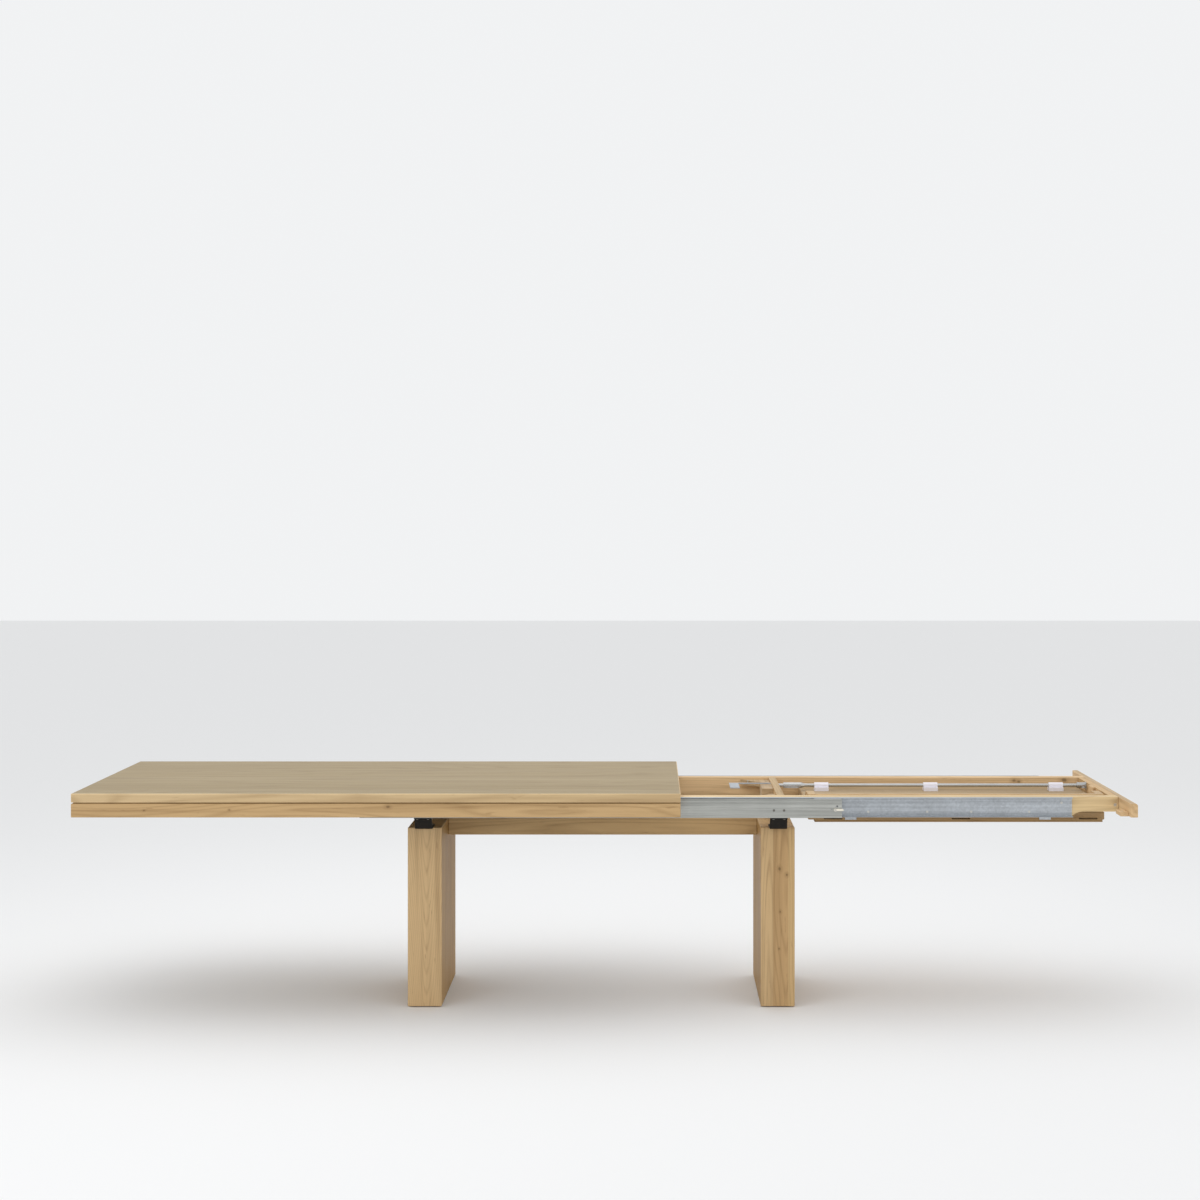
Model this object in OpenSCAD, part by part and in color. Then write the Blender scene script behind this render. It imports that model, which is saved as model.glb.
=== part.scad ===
// Extending dining table on two slab legs, drawn fully open: the main top is slid to the left,
// the leaf frame is drawn out to the right, and the folded leaf lies stored between its beams.
// X runs along the table, Y across it (front is -Y) and Z up. The origin is on the floor, at
// the middle of the open table.

/* [Table] */
// Length of the main top
top_l = 2000; // [1900:10:2100]
// Width of the table
top_w = 1000; // [960:10:1100]
// Height of the table
table_h = 750; // [745:1:760]
// Length from end to end, fully open
open_l = 3500; // [3400:10:3600]
// How far the main top slides
top_travel = 735; // [650:1:740]

/* [Main top] */
// Thickness of the top boards
board_t = 29; // [25:1:32]
// Height of the aprons
apron_h = 45; // [40:1:50]
// Thickness of the aprons
apron_t = 24; // [20:1:28]
// Height of the shadow groove under the board
groove_h = 4; // [3:0.5:6]
// How far the shadow groove is set back
groove_in = 6; // [3:1:10]
// Chamfer on the wooden edges
ease = 2; // [1:0.5:3]

/* [Base] */
// Thickness of a leg, along the table
leg_t = 115; // [90:1:130]
// Depth of a leg, across the table
leg_d = 540; // [530:1:560]
// Height of the leg tops above the floor
leg_h = 608; // [600:1:610]
// Distance between the outer faces of the legs
leg_span = 1309; // [1200:1:1400]
// Thickness of the loose tongue that joins the two slabs of a leg
spline_t = 5; // [4:1:8]
// Height of the stretcher
stretcher_h = 59; // [50:1:80]
// Thickness of the stretcher
stretcher_t = 40; // [36:1:50]
// Thickness of the floor pads
pad_h = 3; // [2:0.5:4]

/* [Slides] */
// Length of the fixed rails, the channels and the runners
rail_l = 1616; // [1500:1:1640]
// Distance from the middle of the table to the outer face of a beam
beam_out = 310; // [305:1:320]
// Wall of the steel channels and runners
sheet_t = 2; // [1.5:0.5:2]
// Depth of the steel channels
channel_d = 24.5; // [20:0.5:24.5]
// Running gap between sliding pieces
slide_gap = 0.3; // [0.3:0.1:0.5]

/* [Leaf frame] */
// Thickness of the side beams
beam_t = 45; // [38:1:50]
// Length of the beams past the end of the channel
beam_tail = 157; // [140:1:180]
// Thickness of the crossbar
crossbar_t = 25; // [20:1:30]
// Place of the crossbar's right face
crossbar_x1 = 605; // [580:1:610]
// Thickness of the rail inside the end apron
end_rail_t = 24; // [22:1:28]
// Diameter of the hinge rod
rod_d = 12; // [10:1:14]
// Distance from the middle of the table to the hinge rod
rod_y = 125; // [115:1:135]

/* [Folding leaf] */
// Length of the folded leaf, along the table
leaf_l = 1005; // [980:1:1005]
// Depth of the folded leaf, across the table
leaf_w = 500; // [480:2:504]
// Thickness of a leaf half
leaf_t = 26; // [24:1:26]
// Gap between the two folded halves
leaf_gap = 2; // [2:0.5:3]
// Height of the battens on the upper half
batten_h = 32; // [24:1:32]

/* [Hidden] */
$fn = 48;
far = 5000;

oak = "#c9ab80";
oak_dark = "#a98a5c";
alloy = "#b4b8b8";
zinc = "#9aa0a2";
bright = "#d0d2d2";
black = "#151311";
white = "#e4e2ea";
cream = "#e2dccb";
felt = "#55504a";

// Main top
top_x0 = -open_l / 2;
board_z = table_h - board_t;
frame_top = board_z - groove_h;
apron_z = frame_top - apron_h;
apron_y = top_w / 2 - apron_t;

// Base
base_x = top_x0 + top_l / 2 + top_travel;
leg_x = [base_x - leg_span / 2, base_x + leg_span / 2 - leg_t];
leg_cx = [for (x = leg_x) x + leg_t / 2];
stretcher_x0 = leg_x[0] + leg_t;
stretcher_l = leg_span - 2 * leg_t;
dowel_y = 10;
dowel_z = leg_h - 30;
dowel_d = 12;
dowel_l = 80;
hole_gap = 0.2;

// Steel brackets on the leg tops
plate_t = 4;
bracket_w = 58;
lean_in = 17;
flange_y = -308;
bracket_y0 = -300;
bracket_y1 = -210;
rail_z0 = leg_h + 42;
screw_d = 5;
screw_head_d = 10;
screw_head_h = 3;
foot_screws = [[-20, -222], [20, -222], [0, -248]];
lip_screw_x = 18;

// Fixed alloy rail, as u outward from the beam's face and v up from the rail's underside
rail_x0 = base_x - rail_l / 2;
rail_h = frame_top - 4 - rail_z0;
face_u = 26;
face_t = 3.5;
rib_u = 34;
flat_t = 2;
flange_u = 8;
flange_t = 3;
lip_h = 7;
rib_t = 2.5;
upper_rib_v = 56.5;
lower_rib_v = 47;
line_v = 32;
top_lip_t = 1.5;
lip_screw_u = (face_u + rib_u) / 2;
guide_screw_x = 17;
guide_screw_z = 675;
guide_l = 62;
guide_u = 5.5;
small_screw_d = 4;
small_head_d = 8;
small_head_h = 1.8;
glide_x = [rail_x0 + rail_l - 92, rail_x0 + rail_l - 792];
glide_l = 88;

// Steel channel on the beam
channel_x0 = open_l / 2 - apron_t - beam_tail - rail_l;
channel_z0 = rail_z0 + 1;
channel_z1 = frame_top - 1;
alloy_flange_z = [channel_z0 + 4, channel_z1 - 6.5];
channel_screws = [[884, 667], [1082, 667], [1230, 667], [1425, 667], [1534, 697],
                  [700, 697], [480, 667], [260, 697], [20, 667]];

// Release latch on the outside of the rail
latch_x = rail_x0 + rail_l - 22;
latch_z = 677;
latch_l = 24;
latch_w = 7;
latch_boss_d = 10;
latch_u0 = face_u + face_t + flat_t + slide_gap;
latch_t = 5;
pivot_r = 2;
pivot_head_d = 7;

// Runner of the main top
runner_x0 = rail_x0 - top_travel;
runner_u = 37;
tongue_u = 32;
tongue_z = rail_z0 + lower_rib_v + rib_t + 2.3;
strip_u = runner_u + sheet_t;
strip_w = 46;
strip_h = 24;
strip_x0 = top_x0 + 50;
strip_l = top_l - 70;
runner_glide_l = 60;
runner_glide_x = [runner_x0 + 760, runner_x0 + rail_l - 80];
runner_screw_z = board_z - 7;
strip_screw_l = 42;

// Leaf frame
frame_x1 = open_l / 2;
beam_x1 = frame_x1 - apron_t;
beam_in = beam_out - beam_t;
beam_z0 = rail_z0 + 2;
tail_z = apron_z - 5;
cove_l = 38;
cove_h = tail_z - beam_z0;
cove_r = (cove_l * cove_l + cove_h * cove_h) / (2 * cove_h);
crossbar_x0 = crossbar_x1 - crossbar_t;
crossbar_z0 = rail_z0 + 5;
end_rail_x0 = beam_x1 - end_rail_t;
end_rail_z0 = tail_z + 3;
end_round = 8;
ledge_l = 28;
ledge_h = 14;
ledge_y = [400, apron_y - 4];
nut_d = 10.6;
nut_x = beam_x1 - 11;
nut_z = frame_top - 27;
bolt_head_d = 14;
nut_l = 30;
beam_bolt_d = 6;
beam_bolt_l = 44;
gusset_x = 102;
gusset_y = 105;
gusset_t = 17;
gusset_top = frame_top - 8;
gusset_screw = [503, 222];
catch_block_x0 = 540;
catch_block_y = [-50, 97];
catch_t = 3;
catch_x0 = 430;
catch_foot_w = 33;
catch_arm_w = 12;
block_y = [-40, 30];
block_t = 10;
block_h = 27;

// Hinge rod, its collars and its bearings
rod_z = 705;
collar_d = 20;
collar_x0 = crossbar_x1 + 20;
collar_l = 63;
collar_tip_l = 12;
end_collar_l = 33;
bearing_l = 50;
bearing_x = [735, 1123, 1569];
bearing_w = 40;
bearing_base_h = 13;
bearing_r = 10;
bearing_screw = [15, 15.5];

// Folded leaf: the upper half lies face down on the lower one
leaf_x0 = 686;
leaf_x1 = leaf_x0 + leaf_l;
upper_z = rod_z - 45;
upper_top = upper_z + leaf_t;
lower_z = upper_z - leaf_gap - leaf_t;
batten_w = 26;
end_batten_y1 = -98;
end_curve_l = 52;
under_h = 10;
under_w = 50;
under_in = 24;
under_edge = 16;
grip_x = [740, 1173, 1605];
grip_l = 63;
grip_h = 5;
grip_z = lower_z + 1;
grip_depth = 15;
tab_x = [811, 1470];
tab_l = 39;
tab_h = 9;
hinge_x = [760, 1158, 1557];
hinge_l = 60;
hinge_r = 4;

// ---------------------------------------------------------------- helpers

// Extrudes an outline drawn in Y and Z along +X
module along_x(x0, l) { translate([x0, 0, 0]) rotate([90, 0, 90]) linear_extrude(l) children(); }

// Extrudes an outline drawn in X and Z along Y, from y0 to y1
module along_y(y0, y1) { translate([0, y1, 0]) rotate([90, 0, 0]) linear_extrude(y1 - y0) children(); }

// Rectangle with its four corners cut at 45 degrees
module eased_outline(w, h, e) {
    polygon([[e, 0], [w - e, 0], [w, e], [w, h - e], [w - e, h], [e, h], [0, h - e], [0, e]]);
}

// Wooden block with all twelve edges chamfered
module eased_block(at, size, e = ease) {
    translate(at) intersection() {
        along_x(0, size[0]) eased_outline(size[1], size[2], e);
        along_y(0, size[1]) eased_outline(size[0], size[2], e);
        linear_extrude(size[2]) eased_outline(size[0], size[1], e);
    }
}

module block(at, size) { translate(at) cube(size); }

module rod_x(at, r, l) { translate(at) rotate([0, 90, 0]) cylinder(r = r, h = l); }

module rod_y(at, r, l) { translate(at) rotate([-90, 0, 0]) cylinder(r = r, h = l); }

module rod_z(at, r, l) { translate(at) cylinder(r = r, h = l); }

module at_rear() { mirror([0, 1, 0]) children(); }

module front_and_rear() {
    children();
    at_rear() children();
}

// Places an outline of u and v on the front slide: u is outward from the beam, v up
module on_front_slide(x0, l, z0) {
    along_x(x0, l) translate([-beam_out, z0]) mirror([1, 0]) children();
}

// Pan-head screw that points along +Z, its head's underside at the origin
module screw(d, head_d, head_h, l) {
    difference() {
        union() {
            cylinder(d = d, h = l);
            translate([0, 0, -head_h]) cylinder(d = head_d, h = head_h);
        }
        for (a = [0, 90])
            rotate(a) block([-head_d / 3, -0.5, -head_h - 1], [head_d / 1.5, 1, head_h * 0.6 + 1]);
    }
}

// ---------------------------------------------------------------- base

// One of the two slabs of a leg; side is -1 for the front slab and 1 for the rear one
module leg_slab(n, side) {
    w = leg_d / 2 - spline_t / 2;
    y0 = side < 0 ? -leg_d / 2 : spline_t / 2;
    inner = n == 0 ? leg_x[0] + leg_t : leg_x[1];
    color(oak) difference() {
        eased_block([leg_x[n], y0, pad_h], [leg_t, w, leg_h - pad_h]);
        rod_x([inner - dowel_l / 2 - 1, side * dowel_y, dowel_z], dowel_d / 2 + 0.05, dowel_l + 2);
        for (s = foot_screws)
            rod_z([leg_cx[n] + s[0], -side * s[1], leg_h - 40], screw_d / 2 + hole_gap, 41);
    }
}

module leg_splines() {
    color(oak_dark) for (x = leg_x)
        block([x + 6, -spline_t / 2, pad_h], [leg_t - 12, spline_t, leg_h - pad_h]);
}

module stretcher() {
    color(oak) difference() {
        eased_block([stretcher_x0, -stretcher_t / 2, leg_h - stretcher_h],
                    [stretcher_l, stretcher_t, stretcher_h]);
        for (x = [stretcher_x0, stretcher_x0 + stretcher_l], side = [-1, 1])
            rod_x([x - dowel_l / 2 - 1, side * dowel_y, dowel_z], dowel_d / 2 + 0.05, dowel_l + 2);
    }
}

module stretcher_dowels() {
    color(oak_dark) for (x = [stretcher_x0, stretcher_x0 + stretcher_l], side = [-1, 1])
        rod_x([x - dowel_l / 2, side * dowel_y, dowel_z], dowel_d / 2, dowel_l);
}

module floor_pads() {
    color(felt) for (x = leg_cx, dx = [-32, 32], y = [-240, -90, 90, 240])
        rod_z([x + dx, y, 0], 15, pad_h);
}

// Black steel bracket that holds the front rail on a leg top: foot, leaning web and flange
module bracket(cx) {
    lip_y = -beam_out - rib_u;
    web_y = lip_y + lean_in;
    color(black) difference() {
        along_x(cx - bracket_w / 2, bracket_w) polygon([
            [bracket_y1, leg_h], [bracket_y1, leg_h + plate_t],
            [bracket_y0 + plate_t, leg_h + plate_t], [web_y + plate_t, rail_z0 - plate_t],
            [flange_y, rail_z0 - plate_t], [flange_y, rail_z0], [lip_y, rail_z0],
            [lip_y, rail_z0 - plate_t], [web_y - plate_t, rail_z0 - plate_t],
            [bracket_y0 - plate_t, leg_h]]);
        for (s = foot_screws)
            rod_z([cx + s[0], s[1], leg_h - 1], screw_d / 2 + hole_gap, plate_t + 2);
        for (x = [-lip_screw_x, lip_screw_x])
            rod_z([cx + x, -beam_out - lip_screw_u, rail_z0 - plate_t - 1],
                  small_screw_d / 2 + hole_gap, plate_t + 2);
    }
}

// Bracket screws, rail screws from below, and the screws that hold the rail guides
module base_screws() {
    color(zinc) front_and_rear() for (cx = leg_cx) {
        for (s = foot_screws)
            translate([cx + s[0], s[1], leg_h + plate_t]) rotate([180, 0, 0])
                screw(screw_d, screw_head_d, screw_head_h, plate_t + 36);
        for (x = [-lip_screw_x, lip_screw_x])
            translate([cx + x, -beam_out - lip_screw_u, rail_z0 - plate_t])
                screw(small_screw_d, small_head_d, small_head_h, plate_t + lip_h - 1);
        for (x = [-guide_screw_x, guide_screw_x])
            translate([cx + x, -beam_out - face_u - face_t - flat_t, guide_screw_z])
                rotate([-90, 0, 0]) screw(small_screw_d, small_head_d, small_head_h, 20);
    }
}

// Section of the fixed alloy rail
module fixed_rail_outline() {
    translate([face_u, 0]) square([face_t, rail_h]);
    translate([face_u, 0]) square([rib_u - face_u, lip_h]);
    for (v = [lower_rib_v, upper_rib_v]) translate([face_u, v]) square([rib_u - face_u, rib_t]);
    translate([face_u, 0]) square([face_t + flat_t, line_v]);
    translate([face_u, line_v + 1.5]) square([face_t + flat_t, lower_rib_v - line_v - 1.5]);
    translate([face_u, rail_h - top_lip_t]) square([face_t + flat_t, top_lip_t]);
    for (z = alloy_flange_z)
        translate([flange_u, z - rail_z0]) square([face_u - flange_u + 1, flange_t]);
}

module front_rail() {
    color(alloy) difference() {
        on_front_slide(rail_x0, rail_l, rail_z0) fixed_rail_outline();
        for (cx = leg_cx, s = [-1, 1]) {
            rod_z([cx + s * lip_screw_x, -beam_out - lip_screw_u, rail_z0 - 1],
                  small_screw_d / 2 + hole_gap, lip_h + 1);
            rod_y([cx + s * guide_screw_x, -beam_out - rib_u - 1, guide_screw_z],
                  small_screw_d / 2 + hole_gap, rib_u - face_u + 3);
        }
        rod_y([latch_x, -beam_out - rib_u - 1, latch_z], pivot_r + 0.1, rib_u - face_u + 3);
        rod_y([latch_x + 6, -beam_out - rib_u - 1, latch_z + 12], 3, rib_u - face_u + 3);
        rod_y([latch_x - 12, -beam_out - rib_u - 1, latch_z + 2], 1.6, rib_u - face_u + 3);
    }
}

// Nylon blocks inside the fixed rails, over the legs, that steady the channels sideways
module rail_guides() {
    v0 = alloy_flange_z[0] + flange_t - rail_z0;
    v1 = alloy_flange_z[1] - rail_z0;
    color(white) front_and_rear() for (cx = leg_cx) difference() {
        on_front_slide(cx - guide_l / 2, guide_l, rail_z0)
            translate([guide_u, v0]) square([face_u - guide_u, v1 - v0]);
        for (s = [-1, 1])
            rod_y([cx + s * guide_screw_x, -beam_out - face_u - 1, guide_screw_z],
                  small_screw_d / 2 + hole_gap, 18);
    }
}

// Nylon pads on the fixed rails that carry the channels
module rail_glides() {
    u0 = flange_u + 1;
    w = face_u - 1 - u0 - slide_gap;
    low0 = channel_z0 + sheet_t + slide_gap;
    low1 = alloy_flange_z[0];
    high0 = alloy_flange_z[1] + flange_t;
    high1 = channel_z1 - sheet_t - slide_gap;
    color(white) front_and_rear() for (x = glide_x)
        on_front_slide(x, glide_l, 0) {
            translate([u0, low0]) square([w, low1 - low0]);
            translate([u0, high0]) square([w, high1 - high0]);
        }
}

// Shoulder screws that the two latches turn on
module latch_pivots() {
    y_head = -beam_out - latch_u0 - latch_t - slide_gap;
    color(bright) front_and_rear() {
        rod_y([latch_x, y_head, latch_z], pivot_r, -beam_out - face_u - y_head);
        rod_y([latch_x, y_head - 1.2, latch_z], pivot_head_d / 2, 1.2);
    }
}

module latch() {
    color(cream) difference() {
        along_y(-beam_out - latch_u0 - latch_t, -beam_out - latch_u0) translate([latch_x, latch_z]) {
            circle(d = latch_boss_d);
            translate([0, -latch_w / 2]) square([latch_l, latch_w]);
            translate([latch_l, 0]) circle(d = latch_w);
        }
        rod_y([latch_x, -beam_out - far / 10, latch_z], pivot_r + 0.06, far / 10);
    }
}

// ---------------------------------------------------------------- main top

module table_top() {
    color(oak) difference() {
        eased_block([top_x0, -top_w / 2, board_z], [top_l, top_w, board_t]);
        for (side = [-1, 1], x = [strip_x0 + 90 : 350 : strip_x0 + strip_l - 60])
            rod_z([x, side * (beam_out + strip_u + strip_w / 2), board_z - 1],
                  screw_d / 2 + hole_gap, strip_screw_l - strip_h + 3);
    }
}

module front_apron() {
    color(oak) eased_block([top_x0, -top_w / 2, apron_z], [top_l, apron_t, apron_h]);
}

module left_apron() {
    color(oak) eased_block([top_x0 + ease, -apron_y, apron_z], [apron_t - ease, 2 * apron_y, apron_h], 1);
}

// Strips between the board and the aprons, set back to leave the shadow groove
module apron_spacers() {
    w = apron_t - groove_in;
    color(oak_dark) {
        front_and_rear() block([top_x0 + groove_in, -top_w / 2 + groove_in, frame_top],
                               [top_l - groove_in, w, groove_h]);
        block([top_x0 + groove_in, -apron_y, frame_top], [w, 2 * apron_y, groove_h]);
    }
}

// Batten under the board that carries a runner
module front_top_batten() {
    y0 = -beam_out - strip_u - strip_w;
    color(oak) difference() {
        block([strip_x0, y0, board_z - strip_h], [strip_l, strip_w, strip_h]);
        for (x = [strip_x0 + 90 : 350 : strip_x0 + strip_l - 60]) {
            rod_z([x, y0 + strip_w / 2, board_z - strip_h - 1], screw_d / 2 + hole_gap, strip_h + 2);
            rod_z([x, y0 + strip_w / 2, board_z - strip_h - 1], screw_head_d / 2 + hole_gap,
                  screw_head_h + 1);
        }
        for (x = [runner_x0 + 60 : 300 : runner_x0 + rail_l - 60])
            rod_y([x, -beam_out - strip_u - 20, runner_screw_z], small_screw_d / 2 + hole_gap, 21);
    }
}

// Steel runner of the main top: its tongue rides between the ribs of the fixed rail
module front_runner() {
    color(zinc) difference() {
        on_front_slide(runner_x0, rail_l, 0) {
            translate([runner_u, tongue_z]) square([sheet_t, board_z - tongue_z]);
            translate([tongue_u, tongue_z]) square([runner_u - tongue_u + 1, sheet_t + 0.5]);
        }
        for (x = [runner_x0 + 60 : 300 : runner_x0 + rail_l - 60])
            rod_y([x, -beam_out - strip_u - 1, runner_screw_z], small_screw_d / 2 + hole_gap, 4);
    }
}

// Nylon shoes on the tongues
module runner_glides() {
    z0 = rail_z0 + lower_rib_v + rib_t + slide_gap;
    z1 = rail_z0 + upper_rib_v - slide_gap;
    color(white) front_and_rear() for (x = runner_glide_x)
        on_front_slide(x, runner_glide_l, 0) difference() {
            translate([tongue_u - 1.5, z0]) square([runner_u - tongue_u + 1, z1 - z0]);
            translate([tongue_u, tongue_z]) square([20, sheet_t + 0.5]);
        }
}

module top_screws() {
    y_strip = -beam_out - strip_u - strip_w / 2;
    color(zinc) front_and_rear() {
        for (x = [strip_x0 + 90 : 350 : strip_x0 + strip_l - 60])
            translate([x, y_strip, board_z - strip_h + screw_head_h])
                screw(screw_d, screw_head_d, screw_head_h, strip_screw_l - screw_head_h);
        for (x = [runner_x0 + 60 : 300 : runner_x0 + rail_l - 60])
            translate([x, -beam_out - runner_u, runner_screw_z]) rotate([90, 0, 0])
                screw(small_screw_d, small_head_d, small_head_h, 20);
    }
}

// ---------------------------------------------------------------- leaf frame

// Side beam: thinner past the channel, after a cove, and drilled for its end nut
module side_beam() {
    cove_x = beam_x1 - beam_tail;
    difference() {
        eased_block([channel_x0, -beam_out, beam_z0],
                    [beam_x1 - channel_x0, beam_t, frame_top - beam_z0], 1.5);
        block([cove_x + cove_l, -beam_out - 1, beam_z0 - 1], [far / 10, beam_t + 2, cove_h + 1]);
        intersection() {
            rod_y([cove_x + cove_l, -beam_out - 1, tail_z - cove_r], cove_r, beam_t + 2);
            block([cove_x, -beam_out - 1, beam_z0 - 1], [cove_l + 1, beam_t + 2, cove_h + 1]);
        }
        rod_y([nut_x, -beam_out - 1, nut_z], nut_d / 2 + hole_gap / 2, nut_l + 1);
        rod_x([nut_x - 20, -beam_out + nut_l / 2, nut_z], beam_bolt_d / 2 + hole_gap, 40);
        for (s = channel_screws)
            rod_y([s[0], -beam_out - 1, s[1]], small_screw_d / 2 + hole_gap, 20);
    }
}

module front_beam() { color(oak) side_beam(); }

module rear_beam() { color(oak) at_rear() side_beam(); }

module channel_outline() {
    h = channel_z1 - channel_z0;
    square([sheet_t, h]);
    square([channel_d, sheet_t]);
    translate([0, h - sheet_t]) square([channel_d, sheet_t]);
}

module front_steel_channel() {
    color(zinc) difference() {
        on_front_slide(channel_x0, rail_l, channel_z0) channel_outline();
        for (s = channel_screws)
            rod_y([s[0], -beam_out - sheet_t - 1, s[1]], small_screw_d / 2 + hole_gap, sheet_t + 2);
    }
}

module channel_screws() {
    color(bright) front_and_rear() for (s = channel_screws)
        translate([s[0], -beam_out - sheet_t, s[1]]) rotate([-90, 0, 0])
            screw(small_screw_d, small_head_d, small_head_h, 18);
}

module crossbar() {
    color(oak) difference() {
        eased_block([crossbar_x0, -beam_in, crossbar_z0],
                    [crossbar_t, 2 * beam_in, frame_top - crossbar_z0], 1);
        rod_x([crossbar_x0 + 5, rod_y, rod_z], rod_d / 2 + hole_gap / 2, crossbar_t);
    }
}

// Triangular gussets between the crossbar and the two beams
module corner_gussets() {
    color(oak) front_and_rear() difference() {
        translate([0, 0, gusset_top - gusset_t]) linear_extrude(gusset_t)
            polygon([[crossbar_x0, -beam_in], [crossbar_x0, -beam_in + gusset_y],
                     [crossbar_x0 - 8, -beam_in + gusset_y], [crossbar_x0 - gusset_x, -beam_in + 6],
                     [crossbar_x0 - gusset_x, -beam_in]]);
        rod_z([gusset_screw[0], -gusset_screw[1], gusset_top - 12], small_screw_d / 2 + hole_gap, 13);
    }
}

module catch_block() {
    color(oak) difference() {
        eased_block([catch_block_x0, catch_block_y[0], crossbar_z0],
                    [crossbar_x0 - catch_block_x0, catch_block_y[1] - catch_block_y[0],
                     frame_top - catch_t - crossbar_z0], 1);
        rod_z([catch_block_x0 + 24, catch_block_y[1] - catch_arm_w / 2, frame_top - 20],
              small_screw_d / 2 + hole_gap, 21);
    }
}

// Flat steel catch: an arm along the table and a foot across it
module catch_plate() {
    y1 = catch_block_y[1];
    color(bright) difference() {
        union() {
            block([catch_x0, y1 - catch_arm_w, frame_top - catch_t],
                  [crossbar_x0 - 2 - catch_x0, catch_arm_w, catch_t]);
            block([catch_x0, catch_block_y[0], frame_top - catch_t],
                  [catch_foot_w, y1 - catch_block_y[0], catch_t]);
        }
        rod_z([catch_block_x0 + 24, y1 - catch_arm_w / 2, frame_top - catch_t - 1],
              small_screw_d / 2 + hole_gap, catch_t + 2);
    }
}

// Screws of the gussets and the catch plate
module frame_screws() {
    color(zinc) {
        front_and_rear() translate([gusset_screw[0], -gusset_screw[1], gusset_top]) rotate([180, 0, 0])
            screw(small_screw_d, small_head_d, small_head_h, 11);
        translate([catch_block_x0 + 24, catch_block_y[1] - catch_arm_w / 2, frame_top])
            rotate([180, 0, 0]) screw(small_screw_d, 7, 1.5, 16);
    }
}

// End apron, rounded along its outer top edge
module end_apron() {
    x0 = beam_x1;
    x1 = frame_x1;
    color(oak) difference() {
        along_y(-top_w / 2, top_w / 2) difference() {
            translate([x0, apron_z]) eased_outline(apron_t, apron_h, 1.5);
            translate([x1 - end_round, frame_top - end_round]) difference() {
                square(end_round + 1);
                circle(r = end_round);
            }
        }
        for (side = [-1, 1]) {
            y = side * (beam_out - nut_l / 2);
            rod_x([x0 - 1, y, nut_z], beam_bolt_d / 2 + hole_gap, apron_t + 2);
            rod_x([x1 - 4, y, nut_z], bolt_head_d / 2 + hole_gap, 5);
        }
    }
}

module end_rail() {
    color(oak) difference() {
        eased_block([end_rail_x0, -beam_in, end_rail_z0],
                    [end_rail_t, 2 * beam_in, frame_top - end_rail_z0], 1);
        rod_x([end_rail_x0 - 1, rod_y, rod_z], rod_d / 2 + hole_gap / 2, 13);
    }
}

// Ledges inside the end apron that the leaf and the aprons rest against
module end_ledges() {
    color(oak) front_and_rear() eased_block([beam_x1 - ledge_l, -ledge_y[1], apron_z],
        [ledge_l, ledge_y[1] - ledge_y[0], ledge_h], 1.5);
}

module end_rail_block() {
    color(oak) eased_block([end_rail_x0 - block_t, block_y[0], frame_top - block_h],
                           [block_t, block_y[1] - block_y[0], block_h], 1.5);
}

module beam_bolts() {
    color(zinc) for (side = [-1, 1]) {
        y = side * (beam_out - nut_l / 2);
        rod_x([frame_x1 - 4, y, nut_z], bolt_head_d / 2, 3.5);
        rod_x([frame_x1 - 4 - beam_bolt_l, y, nut_z], beam_bolt_d / 2, beam_bolt_l + 1);
    }
}

module barrel_nuts() {
    color(bright) front_and_rear() difference() {
        rod_y([nut_x, -beam_out + 0.5, nut_z], nut_d / 2, nut_l - 1);
        rod_x([nut_x - 10, -beam_out + nut_l / 2, nut_z], beam_bolt_d / 2 + 0.05, 20);
        block([nut_x - nut_d, -beam_out, nut_z - 0.6], [2 * nut_d, 1.5, 1.2]);
    }
}

// ---------------------------------------------------------------- hinge rod

module hinge_rod() {
    x0 = crossbar_x0 + 6;
    color(bright) rod_x([x0, rod_y, rod_z], rod_d / 2, end_rail_x0 + 11 - x0);
}

// Stop collars at the two ends of the rod, the left one with a coned tip
module rod_collars() {
    color(bright) difference() {
        translate([0, rod_y, rod_z]) rotate([0, 90, 0]) rotate_extrude() {
            translate([0, collar_x0]) square([collar_d / 2, collar_l]);
            polygon([[0, collar_x0 + collar_l], [collar_d / 2, collar_x0 + collar_l],
                     [rod_d / 2 + 0.6, collar_x0 + collar_l + collar_tip_l],
                     [0, collar_x0 + collar_l + collar_tip_l]]);
        }
        rod_x([collar_x0 - 1, rod_y, rod_z], rod_d / 2 + 0.05, far / 4);
    }
    color(bright) difference() {
        union() {
            rod_x([end_rail_x0 - end_collar_l, rod_y, rod_z], collar_d / 2, end_collar_l);
            block([end_rail_x0 - 2, rod_y - 13, rod_z - 14], [2, 26, 25]);
        }
        rod_x([end_rail_x0 - end_collar_l - 1, rod_y, rod_z], rod_d / 2 + 0.05, end_collar_l + 2);
    }
}

// White bearing blocks on the upper leaf half that run on the rod
module rod_bearings() {
    color(white) for (x = bearing_x) difference() {
        along_x(x, bearing_l) translate([rod_y, 0]) {
            translate([-bearing_w / 2, upper_top]) square([bearing_w, bearing_base_h]);
            translate([-bearing_r, upper_top]) square([2 * bearing_r, rod_z - upper_top]);
            translate([0, rod_z]) circle(r = bearing_r);
        }
        rod_x([x - 1, rod_y, rod_z], rod_d / 2 + 0.06, bearing_l + 2);
        for (sx = [-1, 1], sy = [-1, 1])
            rod_z([x + bearing_l / 2 + sx * bearing_screw[0], rod_y + sy * bearing_screw[1], upper_top - 1],
                  small_screw_d / 2 + hole_gap, bearing_base_h + 2);
    }
}

// ---------------------------------------------------------------- folded leaf

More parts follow.
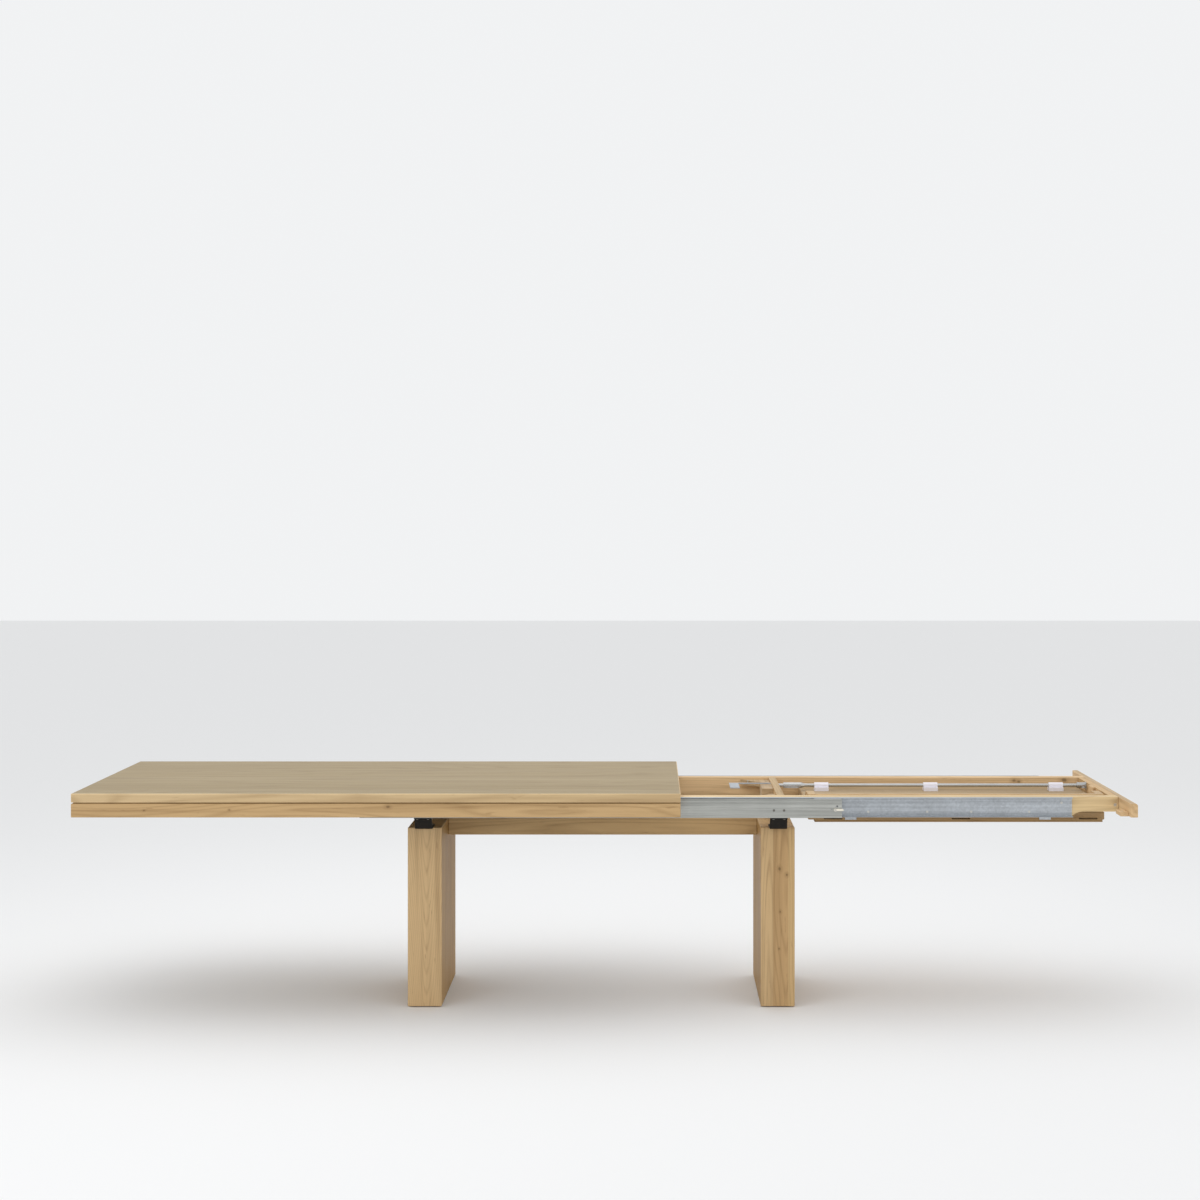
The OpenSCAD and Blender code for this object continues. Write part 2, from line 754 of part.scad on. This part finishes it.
module upper_leaf_half() {
    color(oak) difference() {
        eased_block([leaf_x0, -leaf_w / 2, upper_z], [leaf_l, leaf_w, leaf_t]);
        for (x = bearing_x, sx = [-1, 1], sy = [-1, 1])
            rod_z([x + bearing_l / 2 + sx * bearing_screw[0], rod_y + sy * bearing_screw[1],
                   upper_top - 15], small_screw_d / 2 + hole_gap, 16);
    }
}

// Lower half, with grip slots along its front edge
module lower_leaf_half() {
    color(oak) difference() {
        eased_block([leaf_x0, -leaf_w / 2, lower_z], [leaf_l, leaf_w, leaf_t]);
        for (x = grip_x)
            along_y(-leaf_w / 2 - 1, -leaf_w / 2 + grip_depth) translate([x, grip_z]) {
                translate([grip_h / 2, 0]) square([grip_l - grip_h, grip_h]);
                for (dx = [grip_h / 2, grip_l - grip_h / 2]) translate([dx, grip_h / 2]) circle(d = grip_h);
            }
    }
}

// Battens on the back of the upper half: one along the front edge and a short one at each end
module leaf_top_battens() {
    y0 = -leaf_w / 2;
    r = (end_curve_l * end_curve_l + batten_h * batten_h) / (2 * batten_h);
    y_curve = end_batten_y1 - end_curve_l;
    color(oak) eased_block([leaf_x0 + batten_w, y0, upper_top],
                           [leaf_l - batten_w, batten_w, batten_h], 1.5);
    color(oak) for (end = [[leaf_x0, y0], [leaf_x1 - batten_w, y0 + batten_w]])
        along_x(end[0], batten_w) {
            translate([end[1], upper_top]) square([y_curve - end[1], batten_h]);
            intersection() {
                translate([y_curve, upper_top + batten_h - r]) circle(r = r, $fn = 96);
                translate([y_curve, upper_top]) square([end_curve_l, batten_h]);
            }
        }
}

// Thin battens under the lower half
module leaf_under_battens() {
    x0 = leaf_x0 + under_in;
    l = leaf_l - under_in - 3;
    z0 = lower_z - under_h;
    y1 = leaf_w / 2 - under_edge;
    color(oak_dark) {
        front_and_rear() block([x0, -y1, z0], [l, under_w, under_h]);
        for (x = [x0, x0 + l / 2 - under_w / 2, x0 + l - under_w])
            block([x, -y1 + under_w, z0], [under_w, 2 * (y1 - under_w), under_h]);
    }
}

// Butt hinges between the two halves, along the rear edge
module leaf_hinges() {
    y = leaf_w / 2;
    z = upper_z - leaf_gap / 2;
    color(bright) for (x = hinge_x) {
        rod_x([x, y + hinge_r + 0.5, z], hinge_r, hinge_l);
        block([x, y, z - leaf_t + 4], [hinge_l, 1.5, 2 * leaf_t - 8]);
    }
}

// Steel catch plates on the front edge of the lower half
module leaf_catch_plates() {
    color(bright) for (x = tab_x)
        block([x, -leaf_w / 2 - 2, lower_z], [tab_l, 2, tab_h]);
}

// Screws of the rod bearings
module bearing_screws() {
    color(zinc) for (x = bearing_x, sx = [-1, 1], sy = [-1, 1])
        translate([x + bearing_l / 2 + sx * bearing_screw[0], rod_y + sy * bearing_screw[1],
                   upper_top + bearing_base_h]) rotate([180, 0, 0])
            screw(small_screw_d, 7, small_head_h, bearing_base_h + 14);
}

// ---------------------------------------------------------------- assembly

leg_slab(0, -1);  // left_leg_front
leg_slab(0, 1);  // left_leg_rear
leg_slab(1, -1);  // right_leg_front
leg_slab(1, 1);  // right_leg_rear
leg_splines();
stretcher();
stretcher_dowels();
floor_pads();
bracket(leg_cx[0]);  // front_left_bracket
bracket(leg_cx[1]);  // front_right_bracket
at_rear() bracket(leg_cx[0]);  // rear_left_bracket
at_rear() bracket(leg_cx[1]);  // rear_right_bracket
base_screws();
front_rail();  // front_fixed_rail
at_rear() front_rail();  // rear_fixed_rail
rail_guides();
rail_glides();
latch_pivots();
latch();  // front_latch
at_rear() latch();  // rear_latch
table_top();
front_apron();
at_rear() front_apron();  // rear_apron
left_apron();
apron_spacers();
front_top_batten();
at_rear() front_top_batten();  // rear_top_batten
front_runner();
at_rear() front_runner();  // rear_runner
runner_glides();
top_screws();
front_beam();
rear_beam();
front_steel_channel();  // front_channel
at_rear() front_steel_channel();  // rear_channel
channel_screws();
crossbar();
corner_gussets();
catch_block();
catch_plate();
frame_screws();
end_apron();
end_rail();
end_ledges();
end_rail_block();
beam_bolts();
barrel_nuts();
hinge_rod();
rod_collars();
rod_bearings();
upper_leaf_half();
lower_leaf_half();
leaf_top_battens();
leaf_under_battens();
leaf_hinges();
leaf_catch_plates();
bearing_screws();
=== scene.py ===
import math

import bpy
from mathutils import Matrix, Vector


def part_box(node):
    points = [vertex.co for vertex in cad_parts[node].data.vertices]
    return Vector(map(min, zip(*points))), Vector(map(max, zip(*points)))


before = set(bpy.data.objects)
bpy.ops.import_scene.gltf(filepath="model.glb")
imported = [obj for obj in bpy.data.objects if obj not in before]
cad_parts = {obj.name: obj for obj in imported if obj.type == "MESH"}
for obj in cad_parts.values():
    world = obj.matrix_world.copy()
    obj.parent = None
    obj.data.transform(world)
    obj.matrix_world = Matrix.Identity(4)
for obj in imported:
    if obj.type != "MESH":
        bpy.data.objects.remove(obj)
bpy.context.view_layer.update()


def linear(r, g, b):
    """An sRGB colour of 0 to 255 as linear light."""
    out = []
    for c in (r, g, b):
        c = c / 255.0
        out.append(c / 12.92 if c <= 0.04045 else ((c + 0.055) / 1.055) ** 2.4)
    return (out[0], out[1], out[2], 1.0)


X, Y, Z = 0, 1, 2
JOINT_WIDTH = 0.0007
KNOT_CORE = linear(78, 56, 34)


class Shader:
    """A material and short ways to add and wire its nodes."""

    def __init__(self, name):
        self.mat = bpy.data.materials.new(name)
        self.mat.use_nodes = True
        self.tree = self.mat.node_tree
        self.bsdf = self.tree.nodes["Principled BSDF"]
        coords = self.add("ShaderNodeTexCoord")
        self.here = coords.outputs["Object"]

    def add(self, kind, **props):
        made = self.tree.nodes.new(kind)
        for key, value in props.items():
            setattr(made, key, value)
        return made

    def wire(self, value, socket):
        if isinstance(value, bpy.types.NodeSocket):
            self.tree.links.new(value, socket)
        else:
            socket.default_value = value

    def math(self, op, a, b=0.0, c=0.0):
        made = self.add("ShaderNodeMath", operation=op)
        for value, socket in zip((a, b, c), made.inputs):
            self.wire(value, socket)
        return made.outputs[0]

    def stretch(self, vector, scale, shift=(0.0, 0.0, 0.0)):
        made = self.add("ShaderNodeMapping")
        self.wire(vector, made.inputs["Vector"])
        made.inputs["Scale"].default_value = scale
        made.inputs["Location"].default_value = shift
        return made.outputs[0]

    def noise(self, vector, scale, detail=2.0, rough=0.5, warp=0.0):
        made = self.add("ShaderNodeTexNoise")
        self.wire(vector, made.inputs["Vector"])
        made.inputs["Scale"].default_value = scale
        made.inputs["Detail"].default_value = detail
        made.inputs["Roughness"].default_value = rough
        made.inputs["Distortion"].default_value = warp
        return made.outputs["Fac"]

    def span(self, value, low, high, to_low=0.0, to_high=1.0):
        made = self.add("ShaderNodeMapRange", clamp=True)
        self.wire(value, made.inputs["Value"])
        ends = {"From Min": low, "From Max": high, "To Min": to_low, "To Max": to_high}
        for socket, number in ends.items():
            made.inputs[socket].default_value = number
        return made.outputs[0]

    def mix(self, factor, a, b, blend="MIX"):
        made = self.add("ShaderNodeMix", data_type="RGBA", blend_type=blend)
        self.wire(factor, made.inputs[0])
        self.wire(a, made.inputs[6])
        self.wire(b, made.inputs[7])
        return made.outputs[2]

    def bump(self, height, strength, distance):
        made = self.add("ShaderNodeBump")
        self.wire(height, made.inputs["Height"])
        made.inputs["Strength"].default_value = strength
        made.inputs["Distance"].default_value = distance
        self.wire(made.outputs[0], self.bsdf.inputs["Normal"])

    def finish(self, color, rough, metal=0.0, gloss=0.5):
        self.wire(color, self.bsdf.inputs["Base Color"])
        self.wire(rough, self.bsdf.inputs["Roughness"])
        self.bsdf.inputs["Metallic"].default_value = metal
        self.bsdf.inputs["Specular IOR Level"].default_value = gloss
        return self.mat


def along(grain, scale):
    """Scales that draw a pattern out along one axis."""
    out = [1.0, 1.0, 1.0]
    out[grain] = scale
    return out


def stave_place(s, xyz, stave):
    """The number of the stave at a point, and how close the point is to a glue joint."""
    axis, width, start = stave
    place = s.math("DIVIDE", s.math("SUBTRACT", xyz.outputs[axis], start), width)
    index = s.math("FLOOR", place)
    off_middle = s.math("ABSOLUTE", s.math("SUBTRACT", s.math("SUBTRACT", place, index), 0.5))
    return index, s.span(off_middle, 0.5 - JOINT_WIDTH / width, 0.5)


def cone_rings(s, xyz, cone):
    """Rings of a tapered trunk, which a board cuts into nested arches."""
    middle, pith, upward, outward = cone
    gap = s.add("ShaderNodeVectorMath", operation="LENGTH")
    s.wire(s.stretch(s.here, (1.0, 1.0, 0.0), (-middle[0], -middle[1], pith)), gap.inputs[0])
    spread = s.math("MULTIPLY", gap.outputs["Value"], outward)
    return s.math("MULTIPLY_ADD", xyz.outputs[Z], upward, spread)


def knot(s, color, dark, grain, centre, radius):
    """A dark knot with a ragged edge and a softer halo."""
    scale = [1.0 / radius] * 3
    scale[grain] *= 0.7
    ripple = s.noise(s.here, 60.0, 2.0, 0.5)
    reach = s.add("ShaderNodeVectorMath", operation="LENGTH")
    s.wire(s.stretch(s.here, scale, [-c * k for c, k in zip(centre, scale)]), reach.inputs[0])
    away = s.math("ADD", reach.outputs["Value"], s.math("MULTIPLY", ripple, 0.7))
    halo = s.math("MULTIPLY", s.span(away, 1.0, 2.6, 1.0, 0.0), 0.5)
    core = s.math("MULTIPLY", s.span(away, 0.75, 1.15, 1.0, 0.0), 0.8)
    return s.mix(core, s.mix(halo, color, dark), KNOT_CORE)


def tint_faces(s, color, faces):
    """Painted shade: darken or cool the faces that point along one axis, in place of light this stage
    doesn't give.
    """
    axis, tint = faces
    turned = s.add("ShaderNodeSeparateXYZ")
    coords = s.add("ShaderNodeTexCoord")
    s.wire(coords.outputs["Normal"], turned.inputs[0])
    facing = s.span(s.math("ABSOLUTE", turned.outputs[axis]), 0.8, 0.95)
    return s.mix(facing, color, tint, "MULTIPLY")


def oak(name, grain, tones, stave=None, seed=0.0, rings=8.0, figure=2.2, knots=(), faces=None,
        lines=0.34, odd=None, cone=None):
    """Open-grained oak: staves, growth rings, pores, knots, slow colour change and worn edges.

    A stave is (axis, width, start). A cone is (middle, pith depth, rings per metre up,
    rings per metre out). The odd tint goes on every second stave.
    """
    s = Shader(name)
    dark, mid, light = tones
    xyz = s.add("ShaderNodeSeparateXYZ")
    s.wire(s.here, xyz.inputs[0])

    # Each board or stave takes its own piece of the pattern
    board = s.math("ADD", seed, 0.37)
    if stave:
        index, joint = stave_place(s, xyz, stave)
        board = s.math("ADD", index, seed)
    chance = s.add("ShaderNodeTexWhiteNoise", noise_dimensions="1D")
    s.wire(board, chance.inputs["W"])
    luck = chance.outputs["Value"]
    shifted = s.add("ShaderNodeCombineXYZ")
    for i in range(3):
        s.wire(s.math("MULTIPLY_ADD", luck, 5.3 + 1.7 * i, xyz.outputs[i]), shifted.inputs[i])
    moved = shifted.outputs[0]
    fibre = s.stretch(moved, along(grain, 0.085))
    pore_at = s.stretch(moved, along(grain, 0.022))
    fleck_at = s.stretch(moved, along(grain, 0.16))

    # Growth rings, pores, flecks and streaks
    turns = s.math("MULTIPLY", s.noise(fibre, figure, 2.0, 0.45, 0.25), rings * 2.0)
    if cone:
        turns = s.math("ADD", cone_rings(s, xyz, cone), turns)
    late = s.span(s.math("PINGPONG", turns, 0.5), 0.26, 0.5)
    pores = s.span(s.noise(pore_at, 420.0, 3.0, 0.6), 0.55, 0.72)
    pores = s.math("MULTIPLY", pores, s.span(late, 0.0, 1.0, 0.35, 1.0))
    cloud = s.noise(fibre, 5.0, 3.0, 0.55)
    streak = s.noise(pore_at, 60.0, 2.0, 0.5)
    fleck = s.span(s.noise(fleck_at, 95.0, 2.0, 0.5, 0.4), 0.68, 0.78)

    color = s.mix(s.span(cloud, 0.3, 0.7), mid, light)
    color = s.mix(s.math("MULTIPLY", late, lines), color, dark)
    color = s.mix(s.span(streak, 0.46, 0.70, 0.0, 0.40), color, dark)
    color = s.mix(s.math("MULTIPLY", pores, 0.6), color, dark)
    color = s.mix(s.math("MULTIPLY", fleck, 0.55), color, dark)

    # No two boards have quite the same tone
    tone = s.add("ShaderNodeHueSaturation")
    s.wire(color, tone.inputs["Color"])
    s.wire(s.span(luck, 0.0, 1.0, 0.90, 1.07), tone.inputs["Value"])
    s.wire(s.span(luck, 0.0, 1.0, 1.05, 0.93), tone.inputs["Saturation"])
    color = tone.outputs[0]
    height = s.math("MULTIPLY_ADD", pores, -0.7, s.math("MULTIPLY", late, 0.3))
    if odd:
        color = s.mix(s.math("FLOORED_MODULO", index, 2.0), color, odd, "MULTIPLY")
    if stave:
        color = s.mix(s.math("MULTIPLY", joint, 0.45), color, dark)
        height = s.math("MULTIPLY_ADD", joint, -0.8, height)
    for centre, radius in knots:
        color = knot(s, color, dark, grain, centre, radius)
    if faces:
        color = tint_faces(s, color, faces)
    edge = s.add("ShaderNodeNewGeometry")
    worn = s.span(edge.outputs["Pointiness"], 0.52, 0.60, 0.0, 0.22)
    s.bump(height, 0.35, 0.0006)
    rough = s.math("MULTIPLY_ADD", cloud, 0.16, s.math("MULTIPLY_ADD", pores, 0.15, 0.40))
    return s.finish(s.mix(worn, color, light), rough, 0.0, 0.10)


def metal(name, color, rough, lines=0, spangle=False, streaks_and_light_bands=0.1, grime=0.12):
    """Bare or coated metal with drawing lines, zinc spangle and smudges."""
    s = Shader(name)
    drawn = s.stretch(s.here, along(lines, 0.01))
    line = s.noise(drawn, 900.0, 2.0, 0.6)
    smudge = s.noise(s.here, 9.0, 4.0, 0.6)
    # Painted highlight and shade: broad light and dark bands along the drawn direction, standing in for the
    # light that the profile's steps and ledges catch
    painted_light_band = s.span(s.noise(drawn, 105.0, 3.0, 0.6), 0.3, 0.7, -1.0, 1.0)
    shade = s.math("MULTIPLY_ADD", line, streaks_and_light_bands, 1.0 - streaks_and_light_bands * 0.5)
    shade = s.math("MULTIPLY", shade, s.math("MULTIPLY_ADD", painted_light_band, streaks_and_light_bands * 0.35, 1.0))
    base = s.mix(s.span(smudge, 0.35, 0.75, 0.0, grime), color, (0.12, 0.11, 0.10, 1.0))
    if spangle:
        cell = s.add("ShaderNodeTexVoronoi", feature="F1")
        s.wire(s.here, cell.inputs["Vector"])
        cell.inputs["Scale"].default_value = 160.0
        grey = s.add("ShaderNodeSeparateColor")
        s.wire(cell.outputs["Color"], grey.inputs[0])
        shade = s.math("MULTIPLY", shade, s.span(grey.outputs[0], 0.0, 1.0, 0.90, 1.06))
    value = s.add("ShaderNodeHueSaturation")
    s.wire(base, value.inputs["Color"])
    s.wire(shade, value.inputs["Value"])
    s.bump(line, 0.12, 0.0002)
    worn = s.math("MULTIPLY_ADD", smudge, 0.18, rough - 0.09)
    return s.finish(value.outputs[0], s.math("MULTIPLY_ADD", line, 0.12, worn), 0.9, 0.5)


def coated(name, color, rough, grain=700.0, speck=0.06, gloss=0.4):
    """Moulded plastic, powder coat or felt: fine bump, faint specks and rubbed edges."""
    s = Shader(name)
    grainy = s.noise(s.here, grain, 2.0, 0.6)
    rub = s.noise(s.here, 22.0, 4.0, 0.65)
    pale = tuple(min(1.0, c * 1.25 + 0.02) for c in color[:3]) + (1.0,)
    dull = tuple(c * 0.8 for c in color[:3]) + (1.0,)
    base = s.mix(s.span(rub, 0.35, 0.7, 0.0, 0.5), color, dull)
    base = s.mix(s.math("MULTIPLY", grainy, speck), base, pale)
    edge = s.add("ShaderNodeNewGeometry")
    base = s.mix(s.span(edge.outputs["Pointiness"], 0.53, 0.62, 0.0, 0.35), base, pale)
    s.bump(grainy, 0.2, 0.0003)
    return s.finish(base, s.math("MULTIPLY_ADD", rub, 0.2, rough - 0.1), 0.0, gloss)


# Oak tones: dark, middle, light
EDGE = (linear(136, 104, 66), linear(220, 192, 143), linear(236, 210, 165))
APRON = (linear(126, 94, 58), linear(186, 152, 106), linear(202, 170, 126))
RAIL = (linear(138, 104, 64), linear(202, 168, 120), linear(218, 186, 142))
BEAM = (linear(142, 110, 70), linear(213, 180, 134), linear(229, 198, 155))
LEG = (linear(120, 88, 52), linear(190, 158, 112), linear(208, 177, 131))
LEAF = (linear(126, 98, 64), linear(176, 148, 110), linear(194, 168, 132))
# Painted shade: a darker copy of the oak for the groove strip, the battens under the leaves and the pieces
# inside joints, where shade falls
PAINTED_SHADE = (linear(96, 70, 40), linear(150, 119, 78), linear(168, 138, 96))

# Tints for faces that point one way. They imitate light that this stage doesn't give, so
# they say nothing about the wood's own colour.
GREY_TOP = (0.277, 0.286, 0.278, 1.0)
END_TOP = (0.80, 0.86, 0.94, 1.0)
DIM_SIDE = (0.64, 0.53, 0.32, 1.0)
LEAF_TOP = (0.85, 0.87, 0.88, 1.0)

# A tint for every second stave of a leg, and the widths of the glued staves
DARK_STAVE = (0.86, 0.79, 0.72, 1.0)
TOP_STAVE_WIDTH = 0.125
LEG_STAVE_WIDTH = 0.0505

top_low, top_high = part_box("table_top")
leaf_low, leaf_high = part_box("upper_leaf_half")
left_low, left_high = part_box("left_leg_front")
right_low, right_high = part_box("right_leg_front")
beam_low, beam_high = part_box("rear_beam")
apron_low, apron_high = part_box("front_apron")
top_stave = (Y, TOP_STAVE_WIDTH, top_low[Y])
leaf_stave = (Y, TOP_STAVE_WIDTH, leaf_low[Y])
right_stave = (X, LEG_STAVE_WIDTH, right_low[X] - 0.008)
left_middle = ((left_low[X] + left_high[X]) / 2.0 + 0.006, left_low[Y])
left_cone = (left_middle, 0.018, -15.0, 150.0)

# Knots: centre and radius, measured from a corner of the piece
right_knots = [((right_low[X] + 0.064, right_low[Y], right_high[Z] - 0.140), 0.006),
               ((right_low[X] + 0.088, right_low[Y], right_high[Z] - 0.160), 0.005),
               ((right_low[X] + 0.066, right_low[Y], right_high[Z] - 0.285), 0.004),
               ((right_low[X] + 0.062, right_low[Y], right_high[Z] - 0.410), 0.003)]
beam_knots = [((beam_high[X] - 0.257, beam_low[Y], beam_high[Z] - 0.012), 0.007),
              ((beam_high[X] - 0.240, beam_low[Y], beam_high[Z] - 0.016), 0.006),
              ((beam_high[X] - 0.075, beam_low[Y], beam_high[Z] - 0.010), 0.009)]
apron_knots = [((apron_low[X] + 1.04, apron_low[Y], apron_high[Z] - 0.010), 0.006),
               ((apron_low[X] + 0.24, apron_low[Y], apron_high[Z] - 0.022), 0.003),
               ((apron_low[X] + 0.52, apron_low[Y], apron_high[Z] - 0.020), 0.003)]

look = {
    "table_top": oak("top_oak", X, EDGE, stave=top_stave, seed=3.0, rings=16.0, figure=3.0,
                     faces=(Z, GREY_TOP)),
    "front_apron": oak("front_apron_oak", X, APRON, seed=11.0, rings=14.0, figure=7.0, knots=apron_knots),
    "rear_apron": oak("rear_apron_oak", X, APRON, seed=23.0, rings=14.0, figure=7.0),
    "left_apron": oak("left_apron_oak", Y, APRON, seed=31.0, rings=12.0, figure=7.0),
    "end_apron": oak("end_apron_oak", Y, RAIL, seed=41.0, rings=12.0, figure=7.0, faces=(Z, END_TOP)),
    "apron_spacers": oak("groove_oak", X, PAINTED_SHADE, seed=5.0, figure=6.0),
    "front_top_batten": oak("front_batten_oak", X, RAIL, seed=51.0, rings=10.0, figure=6.0),
    "rear_top_batten": oak("rear_batten_oak", X, RAIL, seed=57.0, rings=10.0, figure=6.0),
    "front_beam": oak("front_beam_oak", X, EDGE, seed=63.0, rings=12.0, figure=8.0),
    "rear_beam": oak("rear_beam_oak", X, BEAM, seed=71.0, rings=12.0, figure=8.0, knots=beam_knots),
    "crossbar": oak("crossbar_oak", Y, RAIL, seed=77.0, rings=10.0, figure=8.0, faces=(Z, END_TOP)),
    "corner_gussets": oak("gusset_oak", Y, LEAF, seed=81.0, rings=10.0, figure=8.0),
    "catch_block": oak("catch_block_oak", Y, LEAF, seed=87.0, rings=10.0, figure=8.0),
    "end_rail": oak("end_rail_oak", Y, RAIL, seed=93.0, rings=10.0, figure=8.0),
    "end_rail_block": oak("end_block_oak", Y, RAIL, seed=95.0, rings=8.0, figure=9.0),
    "end_ledges": oak("ledge_oak", Y, RAIL, seed=97.0, rings=8.0, figure=9.0),
    "upper_leaf_half": oak("upper_leaf_oak", X, LEAF, stave=leaf_stave, seed=103.0, rings=14.0,
                            faces=(Z, LEAF_TOP)),
    "lower_leaf_half": oak("lower_leaf_oak", X, LEAF, stave=leaf_stave, seed=111.0, rings=14.0),
    "leaf_top_battens": oak("leaf_batten_oak", X, RAIL, seed=117.0, rings=10.0, figure=8.0,
                            faces=(Z, LEAF_TOP)),
    "leaf_under_battens": oak("under_batten_oak", X, PAINTED_SHADE, seed=121.0, figure=6.0),
    "stretcher": oak("stretcher_oak", X, LEG, seed=127.0, rings=12.0, figure=6.0),
    "stretcher_dowels": oak("dowel_oak", X, PAINTED_SHADE, seed=131.0, figure=8.0),
    "leg_splines": oak("spline_oak", Z, PAINTED_SHADE, seed=137.0, figure=8.0),
    "left_leg_front": oak("left_front_leg_oak", Z, LEG, seed=141.0, rings=4.5, figure=6.0, lines=0.26,
                          faces=(X, DIM_SIDE), cone=left_cone),
    "left_leg_rear": oak("left_rear_leg_oak", Z, LEG, seed=149.0, rings=16.0, figure=6.0,
                         faces=(X, DIM_SIDE)),
    "right_leg_front": oak("right_front_leg_oak", Z, LEG, right_stave, 152.0, 12.0, 6.0, right_knots,
                           faces=(X, DIM_SIDE), odd=DARK_STAVE),
    "right_leg_rear": oak("right_rear_leg_oak", Z, LEG, right_stave, 163.0, 12.0, 6.0, faces=(X, DIM_SIDE)),
}

alloy = metal("extruded_alloy", linear(176, 177, 172), 0.27, X, streaks_and_light_bands=0.55, grime=0.16)
zinc = metal("galvanised_sheet", linear(182, 187, 192), 0.42, X, spangle=True, streaks_and_light_bands=0.45, grime=0.22)
plated = metal("plated_screw_steel", linear(205, 204, 198), 0.30, Z, streaks_and_light_bands=0.06)
dim = metal("dark_screw_steel", linear(122, 119, 112), 0.40, Z, streaks_and_light_bands=0.06)
bright = metal("bright_rod_steel", linear(196, 197, 196), 0.20, X, streaks_and_light_bands=0.25, grime=0.25)
black = coated("black_powder_coat", linear(20, 17, 13), 0.55, 900.0, 0.03, 0.15)
nylon = coated("white_nylon", linear(226, 224, 233), 0.42, 500.0, 0.04)
cream = coated("cream_plastic", linear(224, 218, 203), 0.40, 500.0, 0.04)
felt = coated("grey_felt", linear(84, 80, 74), 0.85, 1600.0, 0.3, 0.1)
for node in ("front_fixed_rail", "rear_fixed_rail"):
    look[node] = alloy
for node in ("front_channel", "rear_channel", "front_runner", "rear_runner", "catch_plate",
             "leaf_catch_plates"):
    look[node] = zinc
look["base_screws"] = dim
for node in ("channel_screws", "frame_screws", "top_screws", "beam_bolts", "barrel_nuts", "latch_pivots",
             "leaf_hinges"):
    look[node] = plated
for node in ("hinge_rod", "rod_collars"):
    look[node] = bright
for node in ("front_left_bracket", "front_right_bracket", "rear_left_bracket", "rear_right_bracket"):
    look[node] = black
for node in ("rail_guides", "rail_glides", "runner_glides", "rod_bearings", "bearing_screws"):
    look[node] = nylon
for node in ("front_latch", "rear_latch"):
    look[node] = cream
look["floor_pads"] = felt

for node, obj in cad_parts.items():
    obj.data.materials.clear()
    obj.data.materials.append(look[node])


# ---------------------------------------------------------------- stage, camera and light
def plain(name, color, rough):
    """A flat matt material for the floor."""
    s = Shader(name)
    return s.finish(color, rough, 0.0, 0.1)


bpy.ops.mesh.primitive_plane_add(size=60.0, location=(0.0, 0.0, 0.0))
floor = bpy.context.object
floor.name = "floor"
floor.data.materials.append(plain("pale_floor", (0.86, 0.86, 0.86, 1.0), 0.9))

# A level camera that looks straight across the table
CAMERA_AT = (0.1407, -7.7944, 1.6325)
cam_data = bpy.data.cameras.new("camera")
cam_data.sensor_width = 36.0
cam_data.lens = 66.735
cam_data.shift_x = -0.0394
cam_data.shift_y = -0.0628
cam = bpy.data.objects.new("camera", cam_data)
cam.location = CAMERA_AT
cam.rotation_euler = (math.radians(90.0), 0.0, 0.0)
bpy.context.collection.objects.link(cam)
scene = bpy.context.scene
scene.camera = cam


def panel(name, place, aim, size, power):
    """A soft rectangular light at a place, turned to face another."""
    data = bpy.data.lights.new(name, "AREA")
    data.shape = "RECTANGLE"
    data.size, data.size_y = size
    data.energy = power
    lamp = bpy.data.objects.new(name, data)
    lamp.location = place
    to = [a - p for a, p in zip(aim, place)]
    flat = math.hypot(to[0], to[1])
    lamp.rotation_euler = (math.atan2(flat, -to[2]), 0.0, math.atan2(to[1], to[0]) - math.pi / 2)
    bpy.context.collection.objects.link(lamp)


panel("overhead", (-0.4, 0.3, 3.6), (0.0, 0.0, 0.0), (5.5, 3.5), 42.0)
panel("front_left", (-3.6, -4.6, 2.2), (0.0, 0.0, 0.5), (2.5, 2.0), 26.0)
panel("front_right", (3.8, -4.2, 1.8), (0.2, 0.0, 0.5), (2.0, 2.0), 14.0)

world = bpy.data.worlds.new("studio")
scene.world = world
world.use_nodes = True
world.node_tree.nodes["Background"].inputs["Color"].default_value = (0.98, 0.99, 1.0, 1.0)
world.node_tree.nodes["Background"].inputs["Strength"].default_value = 0.90
scene.view_settings.view_transform = "Standard"
